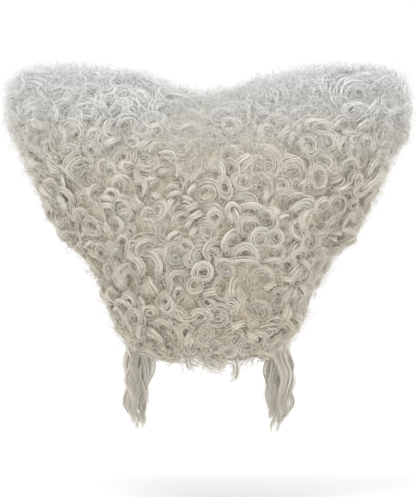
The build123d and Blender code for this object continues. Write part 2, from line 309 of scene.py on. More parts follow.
def pad_ratio(points):
    """Under 1 inside the foam pad of the nearer wing."""
    low, high = (np.array(corner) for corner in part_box("wing_pad_left"))
    centre, radii = (low + high) / 2, (high - low) / 2
    mirrored = np.column_stack((np.abs(points[:, 0]), points[:, 1:]))
    return np.linalg.norm((mirrored - centre) / radii, axis=1)


def skin_triangles(name, planes):
    """A hair block's triangles and normals without its joins, and which of them face the outside."""
    triangles = node_triangles(name)
    centres = triangles.mean(axis=1)
    doubled = triangle_cross(triangles)
    normals = unit(doubled)
    keep = np.linalg.norm(doubled, axis=1) > 1e-12
    for axis, place in planes:
        keep &= ~(np.abs(triangles[:, :, axis] - place) < JOIN_TOLERANCE).all(axis=1)
    to_head = HEAD_CENTRE - centres
    to_head[:, 2] = np.minimum(to_head[:, 2], 0)
    inward = (normals * to_head).sum(axis=1) > 0
    outside = ~(inward & (head_gap(centres) < CAP_SIDE_GAP)) & (pad_ratio(centres) > PAD_MARGIN)
    return triangles[keep], normals[keep], outside[keep]


def outer_skin():
    """For each hair block, its outside triangles and their normals."""
    planes = cut_planes()
    skin = {}
    for name in CURLY_NODES:
        triangles, normals, outside = skin_triangles(name, planes)
        skin[name] = triangles[outside], normals[outside]
    return skin


def scatter(triangles, normals, spacing, rng, tries=9):
    """Points spread over the triangles no nearer to each other than the spacing, with their normals."""
    areas = np.linalg.norm(triangle_cross(triangles), axis=1) / 2
    count = int(tries * areas.sum() / spacing**2)
    chosen = rng.choice(len(triangles), count, p=areas / areas.sum())
    a, b = rng.random(count), rng.random(count)
    flip = a + b > 1
    a[flip], b[flip] = 1 - a[flip], 1 - b[flip]
    corners = triangles[chosen]
    points = corners[:, 0] + a[:, None] * (corners[:, 1] - corners[:, 0])
    points += b[:, None] * (corners[:, 2] - corners[:, 0])
    cells, kept = {}, []
    keys = np.floor(points / spacing).astype(int)
    around = [(i, j, k) for i in (-1, 0, 1) for j in (-1, 0, 1) for k in (-1, 0, 1)]
    for number, (key, point) in enumerate(zip(keys, points)):
        near = [m for step in around for m in cells.get(tuple(key + step), ())]
        if near and (np.linalg.norm(points[near] - point, axis=1) < spacing).any():
            continue
        cells.setdefault(tuple(key), []).append(number)
        kept.append(number)
    return points[kept], normals[chosen[kept]]


# --- strands --------------------------------------------------------------------------------------


def carried_frames(paths):
    """Two directions across each strand at each step, which turn as little as they can along it."""
    along = unit(np.gradient(paths, axis=1))
    side = np.empty_like(along)
    side[:, 0] = unit(np.cross(along[:, 0], np.roll(along[:, 0], 1, axis=1) + (0.31, 0.17, 0.53)))
    for step in range(1, paths.shape[1]):
        carried = side[:, step - 1]
        carried = carried - (carried * along[:, step]).sum(axis=1, keepdims=True) * along[:, step]
        side[:, step] = unit(carried)
    return side, np.cross(along, side)


def tube_mesh(name, paths, radii, shades):
    """One mesh of closed tubes. paths is (strand, step, axis), radii and shades (strand, step, side)."""
    strands, steps, sides = radii.shape
    side, third = carried_frames(paths)
    angles = np.arange(sides) * 2 * math.pi / sides
    ring = side[:, :, None] * np.cos(angles)[:, None] + third[:, :, None] * np.sin(angles)[:, None]
    places = paths[:, :, None] + ring * radii[..., None]

    index = np.arange(strands * steps * sides).reshape(strands, steps, sides)
    low, high = index[:, :-1], index[:, 1:]
    quads = np.stack((low, np.roll(low, -1, axis=2), np.roll(high, -1, axis=2), high), axis=-1)
    quads = quads.reshape(-1, 4)
    ends = np.concatenate((index[:, 0, ::-1], index[:, -1]))
    corners = np.concatenate((quads.ravel(), ends.ravel()))
    sizes = np.concatenate((np.full(len(quads), 4), np.full(len(ends), sides)))

    mesh = bpy.data.meshes.new(name)
    mesh.vertices.add(places.size // 3)
    mesh.vertices.foreach_set("co", places.astype(np.float32).ravel())
    mesh.loops.add(len(corners))
    mesh.loops.foreach_set("vertex_index", corners.astype(np.int32))
    mesh.polygons.add(len(sizes))
    mesh.polygons.foreach_set("loop_start", np.concatenate(((0,), np.cumsum(sizes)[:-1])).astype(np.int32))
    mesh.polygons.foreach_set("use_smooth", np.ones(len(sizes), bool))
    mesh.update(calc_edges=True)
    shade = mesh.attributes.new("shade", "FLOAT", "POINT")
    shade.data.foreach_set("value", shades.astype(np.float32).ravel())
    lay_out(mesh, strands, steps, sides)
    return new_object(name, mesh)


def lay_out(mesh, strands, steps, sides):
    """Gives each strand its own upright cell of the texture square: across it is u, along it is v."""
    columns = math.ceil(math.sqrt(strands * 3))
    rows = math.ceil(strands / columns)
    number = np.arange(strands)
    left, bottom = (number % columns) / columns, (number // columns) / rows
    margin = 0.08
    u = (margin + (1 - 2 * margin) * np.arange(sides + 1) / sides) / columns
    v = (margin + (1 - 2 * margin) * np.arange(steps) / (steps - 1)) / rows
    near_u, far_u = u[:-1][None, None, :], u[1:][None, None, :]
    low_v, high_v = v[:-1][None, :, None], v[1:][None, :, None]
    shape = (strands, steps - 1, sides)
    pairs = ((near_u, low_v), (far_u, low_v), (far_u, high_v), (near_u, high_v))
    quads = np.empty((*shape, 4, 2), np.float32)
    for corner, (cell_u, cell_v) in enumerate(pairs):
        quads[..., corner, 0] = left[:, None, None] + np.broadcast_to(cell_u, shape)
        quads[..., corner, 1] = bottom[:, None, None] + np.broadcast_to(cell_v, shape)
    ends = np.empty((2, strands, sides, 2), np.float32)
    ends[..., 0] = left[None, :, None] + u[:-1]
    ends[0, ..., 1] = bottom[:, None] + v[0]
    ends[1, ..., 1] = bottom[:, None] + v[-1]
    layer = mesh.uv_layers.new(name="OFBake")
    layer.data.foreach_set("uv", np.concatenate((quads.ravel(), ends.ravel())))


def with_sides(paths, radii, shades):
    """Strands as tube_mesh takes them, from a radius and a shade for each step or each strand."""
    steps = [np.broadcast_to(values, paths.shape[:2]) for values in (radii, shades)]
    return paths, *(np.repeat(values[..., None], SIDES, axis=2) for values in steps)


def mixed(rng, kind, *ranges):
    """For each curl, a number drawn from its own kind's range."""
    low, high = np.array(ranges).T
    return rng.uniform(low[kind], high[kind])


def curl_style(heights):
    """How large, loose and sunken the curls at the given heights are, and their tone, which painted light
    lightens upward and painted shade darkens toward the nape.
    """
    high = wing_share(heights)
    low = np.clip((NAPE_SHADE_START - heights) / NAPE_SHADE_SPAN, 0, 1)
    return {
        "scale": 1.15 + 0.1 * high, "loose": 0.65 + 1.35 * high, "sink": 0.38 + 0.27 * high,
        # Painted light from above lightens the tone with height, and painted shade darkens it toward the
        # nape.
        "tone": 0.62 + 0.24 * high - 0.24 * low, "contrast": 0.11 - 0.07 * high,
        "wobble": (1.2 + 1.6 * high) * MM,
    }


def curl_strands(centres, normals, rng):
    """Fine strands that wind together into curls: their paths, radii and shades.

    Kind 0 is a ringlet seen end on, 1 a ringlet that lies on its side, and 2 an open wave.
    """
    count = len(centres)
    style = curl_style(centres[:, 2])
    kind = rng.choice(3, count, p=CURL_SHARES)
    down = normals * normals[:, 2:3] - (0.0, 0.0, 1.0)
    tangent = unit(down + 0.9 * across(normals, rng))
    lean = np.radians(mixed(rng, kind, (2, 34), (60, 88), (0, 45)))[:, None]
    axis = unit(normals * np.cos(lean) + tangent * np.sin(lean))
    first = across(axis, rng)
    second = np.cross(axis, first) * rng.choice((-1, 1), count)[:, None]
    size = mixed(rng, kind, (7.0, 13.0), (6.0, 9.0), (10.0, 16.0)) * MM * style["scale"]
    turns = mixed(rng, kind, (0.85, 1.6), (1.2, 2.0), (0.35, 0.7))
    length = mixed(rng, kind, (3, 7), (8, 15), (2, 8)) * MM
    centres = centres - normals * ((style["sink"] * size)[:, None] * np.sin(lean))
    loose = style["loose"] * rng.uniform(0.6, 1.5, count)
    start = rng.uniform(0, 2 * math.pi, count)
    # The style's tone brings painted light and shade by height; the draw and the smooth field add random
    # tone.
    tone = rng.normal(style["tone"], 0.05)
    tone += 0.06 * smooth_noise(centres, TONE_FIELD, CLUSTER_SIZE)[:, 0]

    shape = (count, CURL_STRANDS)
    u = np.linspace(0, 1, CURL_STEPS)
    own_size = size[:, None] * (1 - 0.6 * rng.random(shape) ** 1.7)
    own_size = own_size * (1 + 0.12 * loose[:, None] * rng.normal(size=shape))
    own_turns = turns[:, None] * rng.uniform(0.75, 1.1, shape)
    own_start = start[:, None] + rng.normal(scale=0.35, size=shape)
    angle = own_start[..., None] + 2 * math.pi * own_turns[..., None] * u
    closing = 1.08 - 0.3 * u**1.5
    oval = rng.uniform(0.72, 1.0, (count, 1, 1))
    ring = own_size[..., None] * closing
    lift = rng.normal(scale=1.3 * MM, size=shape) * (0.7 + 0.6 * loose[:, None])
    rise = np.where(kind == 1, 0.5, 0.9)[:, None, None]
    climb = length[:, None, None] * (u - rise) + lift[..., None] - 2.0 * MM * (1 - u) ** 6
    middle = centres[:, None] + rng.normal(scale=0.7 * MM, size=(*shape, 3)) * loose[:, None, None]
    paths = middle[:, :, None] + axis[:, None, None] * climb[..., None]
    paths = paths + first[:, None, None] * (ring * np.cos(angle))[..., None]
    paths = paths + second[:, None, None] * (oval * ring * np.sin(angle))[..., None]
    paths = paths.reshape(-1, CURL_STEPS, 3)
    wobble = np.repeat(style["wobble"], CURL_STRANDS)[:, None, None]
    paths += smooth_noise(paths, SWAY_FIELD, 14 * MM) * wobble
    apart = rng.normal(size=(len(paths), 1, 3))
    paths += smooth_noise(paths + apart, RIPPLE_FIELD, 5 * MM) * 0.25 * MM

    taper = 1 - 0.6 * np.clip((u - 0.75) / 0.25, 0, 1)
    radii = CURL_STRAND_RADIUS * rng.uniform(0.7, 1.25, (len(paths), 1)) * taper
    shades = np.repeat(tone, CURL_STRANDS)[:, None]
    contrast = np.repeat(style["contrast"], CURL_STRANDS)[:, None]
    shades = shades + contrast * rng.normal(size=(len(paths), 1))
    # Painted shade: each strand is coloured darker toward its root, deep among the curls.
    return with_sides(paths, radii, shades + 0.08 * u)


def mat_strands(points, normals, rng):
    """Short waved strands that lie in all directions beneath the curls."""
    count = len(points)
    along = across(normals, rng)
    over = np.cross(normals, along)
    u = np.linspace(-1, 1, MAT_STEPS)
    reach = rng.uniform(7, 13, (count, 1)) * MM
    bend = rng.normal(scale=5, size=(count, 1)) * MM
    wave = 1.2 * MM * np.sin(rng.uniform(2, 4, (count, 1)) * u + rng.uniform(0, 6, (count, 1)))
    lift = rng.normal(scale=1.4, size=(count, 1)) * MM + 1.5 * MM - 3 * MM * u**2
    paths = points[:, None] + along[:, None] * (reach * u)[..., None]
    paths = paths + over[:, None] * (bend * u**2 + wave)[..., None] + normals[:, None] * lift[..., None]
    radii = MAT_RADIUS * rng.uniform(0.7, 1.3, (count, 1))
    style = curl_style(points[:, 2])
    # Painted shade: the matted strands are coloured darker than the curls over them.
    shades = rng.normal(style["tone"] - 0.12, style["contrast"])[:, None]
    return with_sides(paths, radii, shades)


def frizz_paths(points, normals, rng, reach):
    """Single loose fibres that stand off the curls in small waves and hooks."""
    count = len(points)
    axis = unit(normals * rng.uniform(0.1, 1.0, (count, 1)) + across(normals, rng))
    first = across(axis, rng)
    second = np.cross(axis, first)
    u = np.linspace(0, 1, FRIZZ_STEPS)[None, :]
    angle = 2 * math.pi * rng.uniform(0.4, 1.6, count)[:, None] * u
    angle = angle + rng.uniform(0, 6.28, count)[:, None]
    size = rng.uniform(1.5, 5.0, count)[:, None] * MM
    length = rng.uniform(0.5, 1.0, count)[:, None] * reach
    paths = (points - normals * rng.uniform(1, 6, (count, 1)) * MM)[:, None]
    paths = paths + axis[:, None] * (length * u)[..., None]
    paths = paths + first[:, None] * (size * (np.cos(angle) - np.cos(angle[:, :1])))[..., None]
    paths = paths + second[:, None] * (size * (np.sin(angle) - np.sin(angle[:, :1])))[..., None]
    radii = FRIZZ_RADIUS * rng.uniform(0.7, 1.3, (count, 1)) * np.clip((1 - u) / 0.3, 0.35, 1.0)
    return with_sides(paths, radii, np.clip(rng.normal(0.78, 0.08, (count, 1)), 0, 1))


def vertex_arrays(mesh):
    """A mesh's vertex places and normals."""
    places = np.empty(len(mesh.vertices) * 3, np.float32)
    normals = np.empty(len(mesh.vertices) * 3, np.float32)
    mesh.vertices.foreach_get("co", places)
    mesh.vertices.foreach_get("normal", normals)
    return places.reshape(-1, 3).astype(float), normals.reshape(-1, 3).astype(float)


def apply_modifiers(piece):
    """Replaces a piece's mesh by what its modifiers make of it."""
    evaluated = piece.evaluated_get(bpy.context.evaluated_depsgraph_get())
    mesh = bpy.data.meshes.new_from_object(evaluated)
    mesh.name = piece.name
    piece.modifiers.clear()
    piece.data = mesh


# --- materials ------------------------------------------------------------------------------------


def new_material(name, roughness, **settings):
    """A material with its node tree and its shader."""
    material = bpy.data.materials.new(name)
    material.use_nodes = True
    shader = material.node_tree.nodes["Principled BSDF"]
    shader.inputs["Roughness"].default_value = roughness
    for socket, value in settings.items():
        shader.inputs[socket.replace("_", " ")].default_value = value
    return material, material.node_tree, shader


def add_node(tree, kind, **inputs):
    """A node with its constants, whose names have _ for a space."""
    node = tree.nodes.new(kind)
    for socket, value in inputs.items():
        node.inputs[socket.replace("_", " ")].default_value = value
    return node


def math_node(tree, operation, first, second):
    """The sum or product of two sockets."""
    node = tree.nodes.new("ShaderNodeMath")
    node.operation = operation
    tree.links.new(first, node.inputs[0])
    tree.links.new(second, node.inputs[1])
    return node.outputs["Value"]


def grain(tree, scale, detail):
    """Noise over the object's own space: its factor."""
    place = tree.nodes.new("ShaderNodeTexCoord")
    noise = add_node(tree, "ShaderNodeTexNoise", Scale=scale, Detail=detail, Roughness=0.6)
    tree.links.new(place.outputs["Object"], noise.inputs["Vector"])
    return noise.outputs["Fac"]


def add_bump(tree, shader, height, strength, distance):
    """Relief that follows a socket."""
    bump = add_node(tree, "ShaderNodeBump", Strength=strength, Distance=distance)
    tree.links.new(height, bump.inputs["Height"])
    tree.links.new(bump.outputs["Normal"], shader.inputs["Normal"])


def ramp(tree, factor, stops):
    """A colour ramp over a factor socket, with stops of (place, colour)."""
    node = tree.nodes.new("ShaderNodeValToRGB")
    elements = node.color_ramp.elements
    while len(elements) < len(stops):
        elements.new(0.5)
    for element, (place, colour) in zip(elements, stops):
        element.position = place
        element.color = (*colour, 1)
    tree.links.new(factor, node.inputs["Fac"])
    return node.outputs["Color"]


def fibre_material(name, stops, high_stops, roughness):
    """Hair coloured by each strand's shade, from one set of stops low down to another high up."""
    material, tree, shader = new_material(
        name, roughness, Specular_IOR_Level=0.3, Sheen_Weight=0.45, Sheen_Roughness=0.45
    )
    shade = tree.nodes.new("ShaderNodeAttribute")
    shade.attribute_name = "shade"
    noise = grain(tree, 420.0, 3.0)
    spread = add_node(tree, "ShaderNodeMapRange", To_Min=-0.1, To_Max=0.1)
    tree.links.new(noise, spread.inputs["Value"])
    total = math_node(tree, "ADD", shade.outputs["Fac"], spread.outputs["Result"])

    place = tree.nodes.new("ShaderNodeTexCoord")
    parts = tree.nodes.new("ShaderNodeSeparateXYZ")
    tree.links.new(place.outputs["Object"], parts.inputs["Vector"])
    height = add_node(tree, "ShaderNodeMapRange", From_Min=WHITE_START, From_Max=WHITE_FULL)
    tree.links.new(parts.outputs["Z"], height.inputs["Value"])
    colour = tree.nodes.new("ShaderNodeMix")
    colour.data_type = "RGBA"
    tree.links.new(height.outputs["Result"], colour.inputs["Factor"])
    # A mix node's sockets for numbers, vectors and colours share their names, so these go by number.
    tree.links.new(ramp(tree, total, stops), colour.inputs[6])
    tree.links.new(ramp(tree, total, high_stops), colour.inputs[7])
    tree.links.new(colour.outputs[2], shader.inputs["Base Color"])
    add_bump(tree, shader, noise, 0.3, 0.3 * MM)
    return material


# The darker, warmer low stops, used mostly by the under layer and the mats, paint the shade and the warm
# bounced light in the gaps among the curls.
CREAM_STOPS = (
    (0.00, (0.60, 0.53, 0.40)),
    (0.30, (0.77, 0.71, 0.58)),
    (0.62, (0.88, 0.83, 0.72)),
    (1.00, (0.93, 0.90, 0.83)),
)
WHITE_STOPS = (
    (0.00, (0.84, 0.80, 0.71)),
    (0.30, (0.90, 0.88, 0.82)),
    (0.62, (0.93, 0.94, 0.92)),
    (1.00, (0.96, 0.97, 0.96)),
)


# --- hair pieces ----------------------------------------------------------------------------------


def finish_piece(piece, material, slot, *nodes, body=BODY):
    """Dresses a piece, ties it to its body, and hides the CAD nodes that it replaces."""
    piece.data.materials.clear()
    piece.data.materials.append(material)
    if nodes:
        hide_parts(*nodes)
    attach(piece, body)


def settled(points, normals):
    """The points moved in under the skin, further where it bends sharply, so that curls stay inside."""
    near = np.linalg.norm(points[:, None] - points[None], axis=2) < SHARP_REACH
    mean = (near[..., None] * normals[None]).sum(axis=1) / near.sum(axis=1, keepdims=True)
    sharp = 1 - np.linalg.norm(mean, axis=1, keepdims=True)
    inside = points - unit(mean) * np.minimum(SETTLE_LEAST + SETTLE_RATE * sharp, SETTLE_MOST) * MM
    return lifted(inside)


def strand_pieces(name, strands, material, slot, *nodes):
    """Strands as one or more pieces, each small enough to keep all of its triangles."""
    paths, radii, shades = strands
    paths = clear_of_head(paths)
    each = 2 * radii.shape[2] * radii.shape[1]
    parts = math.ceil(each * len(paths) / MOST_TRIANGLES)
    for number in range(parts):
        share = slice(number, None, parts)
        piece = tube_mesh(f"{name}_{number + 1}", paths[share], radii[share], shades[share])
        finish_piece(piece, material, slot, *(nodes if number == 0 else ()))


def curly_pieces(skin, material):
    """The curls and the matted strands of each block of hair."""
    for number, (name, (triangles, normals)) in enumerate(skin.items()):
        rng = np.random.default_rng(CURL_SEED + number)
        points, facing = scatter(triangles, normals, CURL_SPACING, rng)
        centres = settled(points, facing)
        centres += CLUSTER_HEIGHT * smooth_noise(centres, CLUSTER_FIELD, CLUSTER_SIZE)[:, :1] * facing
        strand_pieces(name + "_curls", curl_strands(centres, facing, rng), material, "curly_hair", name)
        points, facing = scatter(triangles, normals, MAT_SPACING, rng, tries=3)
        points = lifted(points - facing * UNDER_DEPTH * MAT_DEPTH)
        strand_pieces(name + "_mat", mat_strands(points, facing, rng), material, "curly_hair")


def frizz_piece(skin, material):
    """Loose fibres over all of the curly hair, more and longer ones toward the wings' tops."""
    rng = np.random.default_rng(FRIZZ_SEED)
    triangles = np.concatenate([triangles for triangles, _ in skin.values()])
    normals = np.concatenate([normals for _, normals in skin.values()])
    areas = np.linalg.norm(triangle_cross(triangles), axis=1)
    share = areas * (0.5 + 1.5 * wing_share(triangles[:, 0, 2]))
    chosen = rng.choice(len(triangles), FRIZZ_COUNT, p=share / share.sum())
    points = triangles[chosen].mean(axis=1) + rng.normal(scale=3 * MM, size=(FRIZZ_COUNT, 3))
    reach = (6 + 7 * wing_share(points[:, 2:3])) * MM
    fibres = frizz_paths(lifted(points), normals[chosen], rng, reach)
    strand_pieces("loose_fibres", fibres, material, "curly_hair")


def under_layer(material):
    """The matted hair beneath the curls, as one closed skin drawn in from the outside."""
    planes = cut_planes()
    parts = [skin_triangles(name, planes) for name in CURLY_NODES]
    triangles = np.concatenate([part[0] for part in parts])
    outside = np.concatenate([part[2] for part in parts])
    corners, numbers = polygon_lists(triangles)
    mesh = bpy.data.meshes.new("under_hair")
    mesh.from_pydata(corners, [], numbers)
    piece = new_object("under_hair", mesh)
    remesh = piece.modifiers.new("remesh", "REMESH")
    remesh.mode = "VOXEL"
    remesh.voxel_size = UNDER_VOXEL
    apply_modifiers(piece)
    tree = BVHTree.FromPolygons(corners, numbers)
    places, normals = vertex_arrays(piece.data)
    nearest = np.array([tree.find_nearest(place)[2] for place in places])
    depth = np.where(outside[nearest], UNDER_DEPTH, UNDER_CAP_DEPTH)
    bumps = smooth_noise(places, BUMP_FIELD, 5 * MM)[:, 0] * UNDER_BUMP
    places = places - normals * (depth + bumps * outside[nearest])[:, None]
    places = clear_of_head(lifted(lifted(places)))
    piece.data.vertices.foreach_set("co", places.astype(np.float32).ravel())
    piece.data.polygons.foreach_set("use_smooth", np.ones(len(piece.data.polygons), bool))
    shade = piece.data.attributes.new("shade", "FLOAT", "POINT")
    # Painted shade: the under layer is coloured far darker than the curls over it, and darker still lower
    # down; the smooth field adds random tone.
    tone = 0.05 + 0.45 * np.clip((places[:, 2] + 0.1) / 0.2, 0, 1)
    tone += 0.12 * smooth_noise(places, UNDER_TONE_FIELD, 4 * MM)[:, 0]
    shade.data.foreach_set("value", tone.astype(np.float32))
    piece.data.update()
    finish_piece(piece, material, "curly_hair")


# --- long locks -----------------------------------------------------------------------------------


def girth(name, levels):
    """A node's middle and half its size across at each height: two arrays of (height, x or y)."""
    triangles = node_triangles(name)
    starts = triangles.reshape(-1, 3)
    ends = np.roll(triangles, -1, axis=1).reshape(-1, 3)
    middle, half = [], []
    for level in levels:
        crossing = (starts[:, 2] - level) * (ends[:, 2] - level) < 0
        first, last = starts[crossing], ends[crossing]
        share = (level - first[:, 2:]) / (last[:, 2:] - first[:, 2:])
        ring = (first + share * (last - first))[:, :2]
        middle.append((ring.max(axis=0) + ring.min(axis=0)) / 2)
        half.append((ring.max(axis=0) - ring.min(axis=0)) / 2)
    return np.array(middle), np.array(half)


def tress_strands(node, rng):
    """Smooth strands gathered in waved clumps, from the temple down to a loose tip."""
    low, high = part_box(node)
    levels = np.linspace(high.z - 1 * MM, low.z + 1 * MM, TRESS_LEVELS)
    middle, half = girth(node, levels)
    clump = rng.integers(0, TRESS_CLUMPS, TRESS_STRANDS)
    clump_angle = rng.uniform(0, 2 * math.pi, TRESS_CLUMPS)
    clump_reach = np.sqrt(rng.random(TRESS_CLUMPS)) * 0.82
    own = rng.normal(scale=0.2, size=(TRESS_STRANDS, 2))
    end = rng.uniform(0.8, 1.0, TRESS_CLUMPS)[clump] * rng.uniform(0.93, 1.0, TRESS_STRANDS)
    u = np.linspace(0, 1, TRESS_STEPS) * end[:, None]
    z = levels[0] + (levels[-1] - levels[0]) * u
    turn = clump_angle[clump][:, None] + 1.3 * u
    place = clump_reach[clump][:, None, None] * np.stack((np.cos(turn), np.sin(turn)), axis=-1)
    gather = 1 - 0.45 * u[..., None] * (1 - 0.5 * np.clip((u[..., None] - 0.8) / 0.2, 0, 1))
    place = place + own[:, None] * gather
    place = place / np.maximum(1, np.linalg.norm(place, axis=-1, keepdims=True))
    phase = rng.uniform(0, 2 * math.pi, (TRESS_CLUMPS, 2))[clump]
    pitch = rng.uniform(42, 60, TRESS_CLUMPS)[clump] * MM
    wave = np.sin(2 * math.pi * (levels[0] - z)[..., None] / pitch[:, None, None] + phase[:, None])
    wave = wave * (0.8 + 3.6 * u[..., None]) * (1.0, 0.45) * MM
    paths = np.empty((TRESS_STRANDS, TRESS_STEPS, 3))
    for axis in (0, 1):
        centre = np.interp(-z, -levels, middle[:, axis])
        reach = np.interp(-z, -levels, half[:, axis])
        paths[..., axis] = centre + reach * place[..., axis] + wave[..., axis]
    paths[..., 2] = z
    taper = 1 - 0.65 * np.clip((u / end[:, None] - 0.85) / 0.15, 0, 1)
    radii = TRESS_STRAND_RADIUS * rng.uniform(0.7, 1.25, (TRESS_STRANDS, 1)) * taper
    tone = rng.normal(0.7, 0.08, TRESS_CLUMPS)[clump] + rng.normal(scale=0.12, size=TRESS_STRANDS)
    return with_sides(paths, radii, tone[:, None])


def tress_pieces(material):
    """Each long lock as one piece."""
    for number, side in enumerate(("left", "right")):
        node = f"tress_{side}"
        rng = np.random.default_rng(TRESS_SEED + number)
        piece = tube_mesh(f"{node}_strands", *tress_strands(node, rng))
        piece.data.materials.append(material)
        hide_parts(node)
        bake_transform(piece)


# --- cap ------------------------------------------------------------------------------------------


def chunks(line, keep, steps):
    """Cuts the kept runs of a line's points into stretches of a set number of points each."""
    pieces = []
    edges = np.flatnonzero(np.diff(np.concatenate(((0,), keep.astype(int), (0,)))))
    for first, last in zip(edges[::2], edges[1::2]):
        if last - first < 3:
            continue
        number = max(1, round((last - first - 1) / (steps - 1)))
        places = np.linspace(first, last - 1, number * (steps - 1) + 1)
        index = np.arange(len(line))
        run = np.column_stack([np.interp(places, index, line[:, axis]) for axis in range(3)])
        pieces += [run[i * (steps - 1):(i + 1) * (steps - 1) + 1] for i in range(number)]
    return pieces


def runs_near(tree, line, distance, steps):
    """The stretches of a line that lie within a distance of a surface."""
    keep = np.array([tree.find_nearest(point)[3] < distance for point in line])
    return chunks(line, keep, steps)


def thread_piece(name, pieces, radius, material, slot, *nodes, body=BODY):
    """Threads of one thickness as one piece."""
    piece = tube_mesh(name, *with_sides(np.array(pieces), radius, 0.5))
    finish_piece(piece, material, slot, *nodes, body=body)


def net_piece(material):
    """The cap's open net: two crossing families of threads, as a flat net lies when it is stretched."""
    tree = node_tree("crown_net")
    places = np.arange(-NET_REACH, NET_REACH, NET_PITCH)
    along = np.arange(-NET_REACH, NET_REACH, NET_PITCH / 2)
    wave = 0.25 * NET_PITCH * np.sin(math.pi * along / NET_PITCH)
    pieces = []
    for place in places:
        for swap in (False, True):
            u, v = place + wave, along
            if swap:
                u, v = v, u
            line = form_points(np.hypot(u, v), np.arctan2(v, u) + math.pi / 4, NET_LAYER)
            pieces += runs_near(tree, line, 0.7 * MM, 9)
    thread_piece("cap_net_threads", pieces, NET_THREAD_RADIUS, material, "cap_net", "crown_net")


def rim_chains(name):
    """The sharp edges of a band's inner side, in order, each with its direction into the band."""
    mesh = bmesh.new()
    mesh.from_mesh(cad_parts[name].data)
    bmesh.ops.remove_doubles(mesh, verts=mesh.verts, dist=1e-6)
    links, inward = {}, {}
    for edge in mesh.edges:
        if len(edge.link_faces) != 2 or edge.calc_face_angle(0) < SHARP_EDGE:
            continue
        middle = (edge.verts[0].co + edge.verts[1].co) / 2
        to_head = Vector((-middle.x, -middle.y, min(HEAD_CENTRE[2] - middle.z, 0)))
        to_head.normalize()
        inner, rim = sorted(edge.link_faces, key=lambda face: -face.normal.dot(to_head))
        if inner.normal.dot(to_head) < 0.6:
            continue
        into = inner.normal * 0.15 * MM - rim.normal * STITCH_INSET
        for vertex, other in (edge.verts, reversed(edge.verts)):
            links.setdefault(vertex.index, []).append(other.index)
            inward.setdefault(vertex.index, []).append(into)
    places = {vertex.index: vertex.co.copy() for vertex in mesh.verts if vertex.index in links}
    mesh.free()
    chains, seen = [], set()
    for start in sorted(links, key=lambda index: (len(links[index]) != 1, index)):
        chain, here = [], start
        while here is not None and here not in seen:
            seen.add(here)
            chain.append(here)
            here = next((other for other in links[here] if other not in seen), None)
        if len(chain) > 3:
            shift = [sum(inward[index], Vector()) / len(inward[index]) for index in chain]
            chains.append(np.array([places[index] + move for index, move in zip(chain, shift)]))
    return chains


def stitches(line):
    """Short stitches along a line, each dipping into the cloth at its ends."""
    length = np.concatenate(((0,), np.cumsum(np.linalg.norm(np.diff(line, axis=0), axis=1))))
    starts = np.arange(0, length[-1] - STITCH_LENGTH, STITCH_LENGTH + STITCH_GAP)
    u = np.linspace(0, 1, 4)
    places = starts[:, None] + u * STITCH_LENGTH
    return np.stack([np.interp(places, length, line[:, axis]) for axis in range(3)], axis=-1)


def seam_piece(node, material, slot, body=BODY):
    """A row of stitches just inside a band's edge."""
    lines = [line for line in rim_chains(node) if np.linalg.norm(np.ptp(line, axis=0)) > SHORTEST_SEAM]
    if lines:
        rows = np.concatenate([stitches(line) for line in lines])
        thread_piece(node + "_seam", rows, THREAD_RADIUS, material, slot, body=body)


def track_seams(material):
    """A zigzag of thread along the middle of each sewn track, on its inner side."""
    angle = np.arange(0, 2 * math.pi, 0.012)
    sway = ZIGZAG_WIDTH * np.where(np.arange(len(angle)) % 2, 1, -1)
    for number in range(1, 7):
        low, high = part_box(f"weft_track_{number}")
        level = (low.z + high.z) / 2
        line = form_points(level_to_arc(level) + sway, angle + math.pi * 1.5, TRACK_LAYER)
        pieces = runs_near(node_tree(f"weft_track_{number}"), line, 0.6 * MM, 5)
        if pieces:
            thread_piece(f"weft_track_{number}_zigzag", pieces, THREAD_RADIUS, material, "track_tape")


def elastic_ribs(material):
    """Cords of rubber that stand out along the elastic strips."""
    tree = node_tree("back_elastic_strips")
    low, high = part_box("back_elastic_strips")
    arcs = np.linspace(level_to_arc(high.z), level_to_arc(low.z), 90)
    pieces = []
    for degrees in np.arange(40.0, 141.0, 0.75):
        line = form_points(arcs, np.full(len(arcs), math.radians(degrees)), STRIP_LAYER)
        pieces += runs_near(tree, line, 0.12 * MM, 15)
    thread_piece("back_elastic_ribs", pieces, RIB_RADIUS, material, "elastic")


def pile(node, name, spacing, height, hooked, material, slot, body=BODY):
    """The loops or the hooks of a touch fastener, over a node's outward or inward face."""
    triangles = node_triangles(node)
    normals = unit(triangle_cross(triangles))
    away = unit(triangles.mean(axis=1) * (1, 1, 0))
    facing = (normals * away).sum(axis=1) * (1 if hooked else -1) > 0.6
    rng = np.random.default_rng(len(name))
    points, facing_out = scatter(triangles[facing], normals[facing], spacing, rng)
    lean = across(facing_out, rng)
    u = np.linspace(0, 1, 6)
    bow = np.sin((0.75 if hooked else 1) * math.pi * u)
    reach = np.maximum(0, u - 0.45) if hooked else u - 0.5
    paths = points[:, None] + facing_out[:, None] * (bow * height - PILE_RADIUS)[:, None]
    paths = paths + lean[:, None] * (reach * height * 1.5)[:, None]
    thread_piece(name, paths, PILE_RADIUS, material, slot, body=body)


def cap_pieces(looks):
    """Threads, ribs and piles on the cap's own nodes."""
    net_piece(looks["net"])
    for node in ("front_band", "nape_band", "ear_tab_left", "ear_tab_right"):
        seam_piece(node, looks["thread"], "binding")
    seam_piece("blank_label", looks["thread"], "label")
    track_seams(looks["thread"])
    elastic_ribs(looks["rubber"])
    pile("loop_pad", "loop_pad_pile", LOOP_SPACING, LOOP_HEIGHT, False, looks["thread"], "loop_tape")
    for side in ("left", "right"):
        pile(
            f"hook_patch_{side}", f"hook_patch_{side}_hooks", HOOK_SPACING, HOOK_HEIGHT, True,
            looks["nylon"], "hook_tape", f"adjuster_{side}_body",
        )


# --- carried-over nodes ---------------------------------------------------------------------------


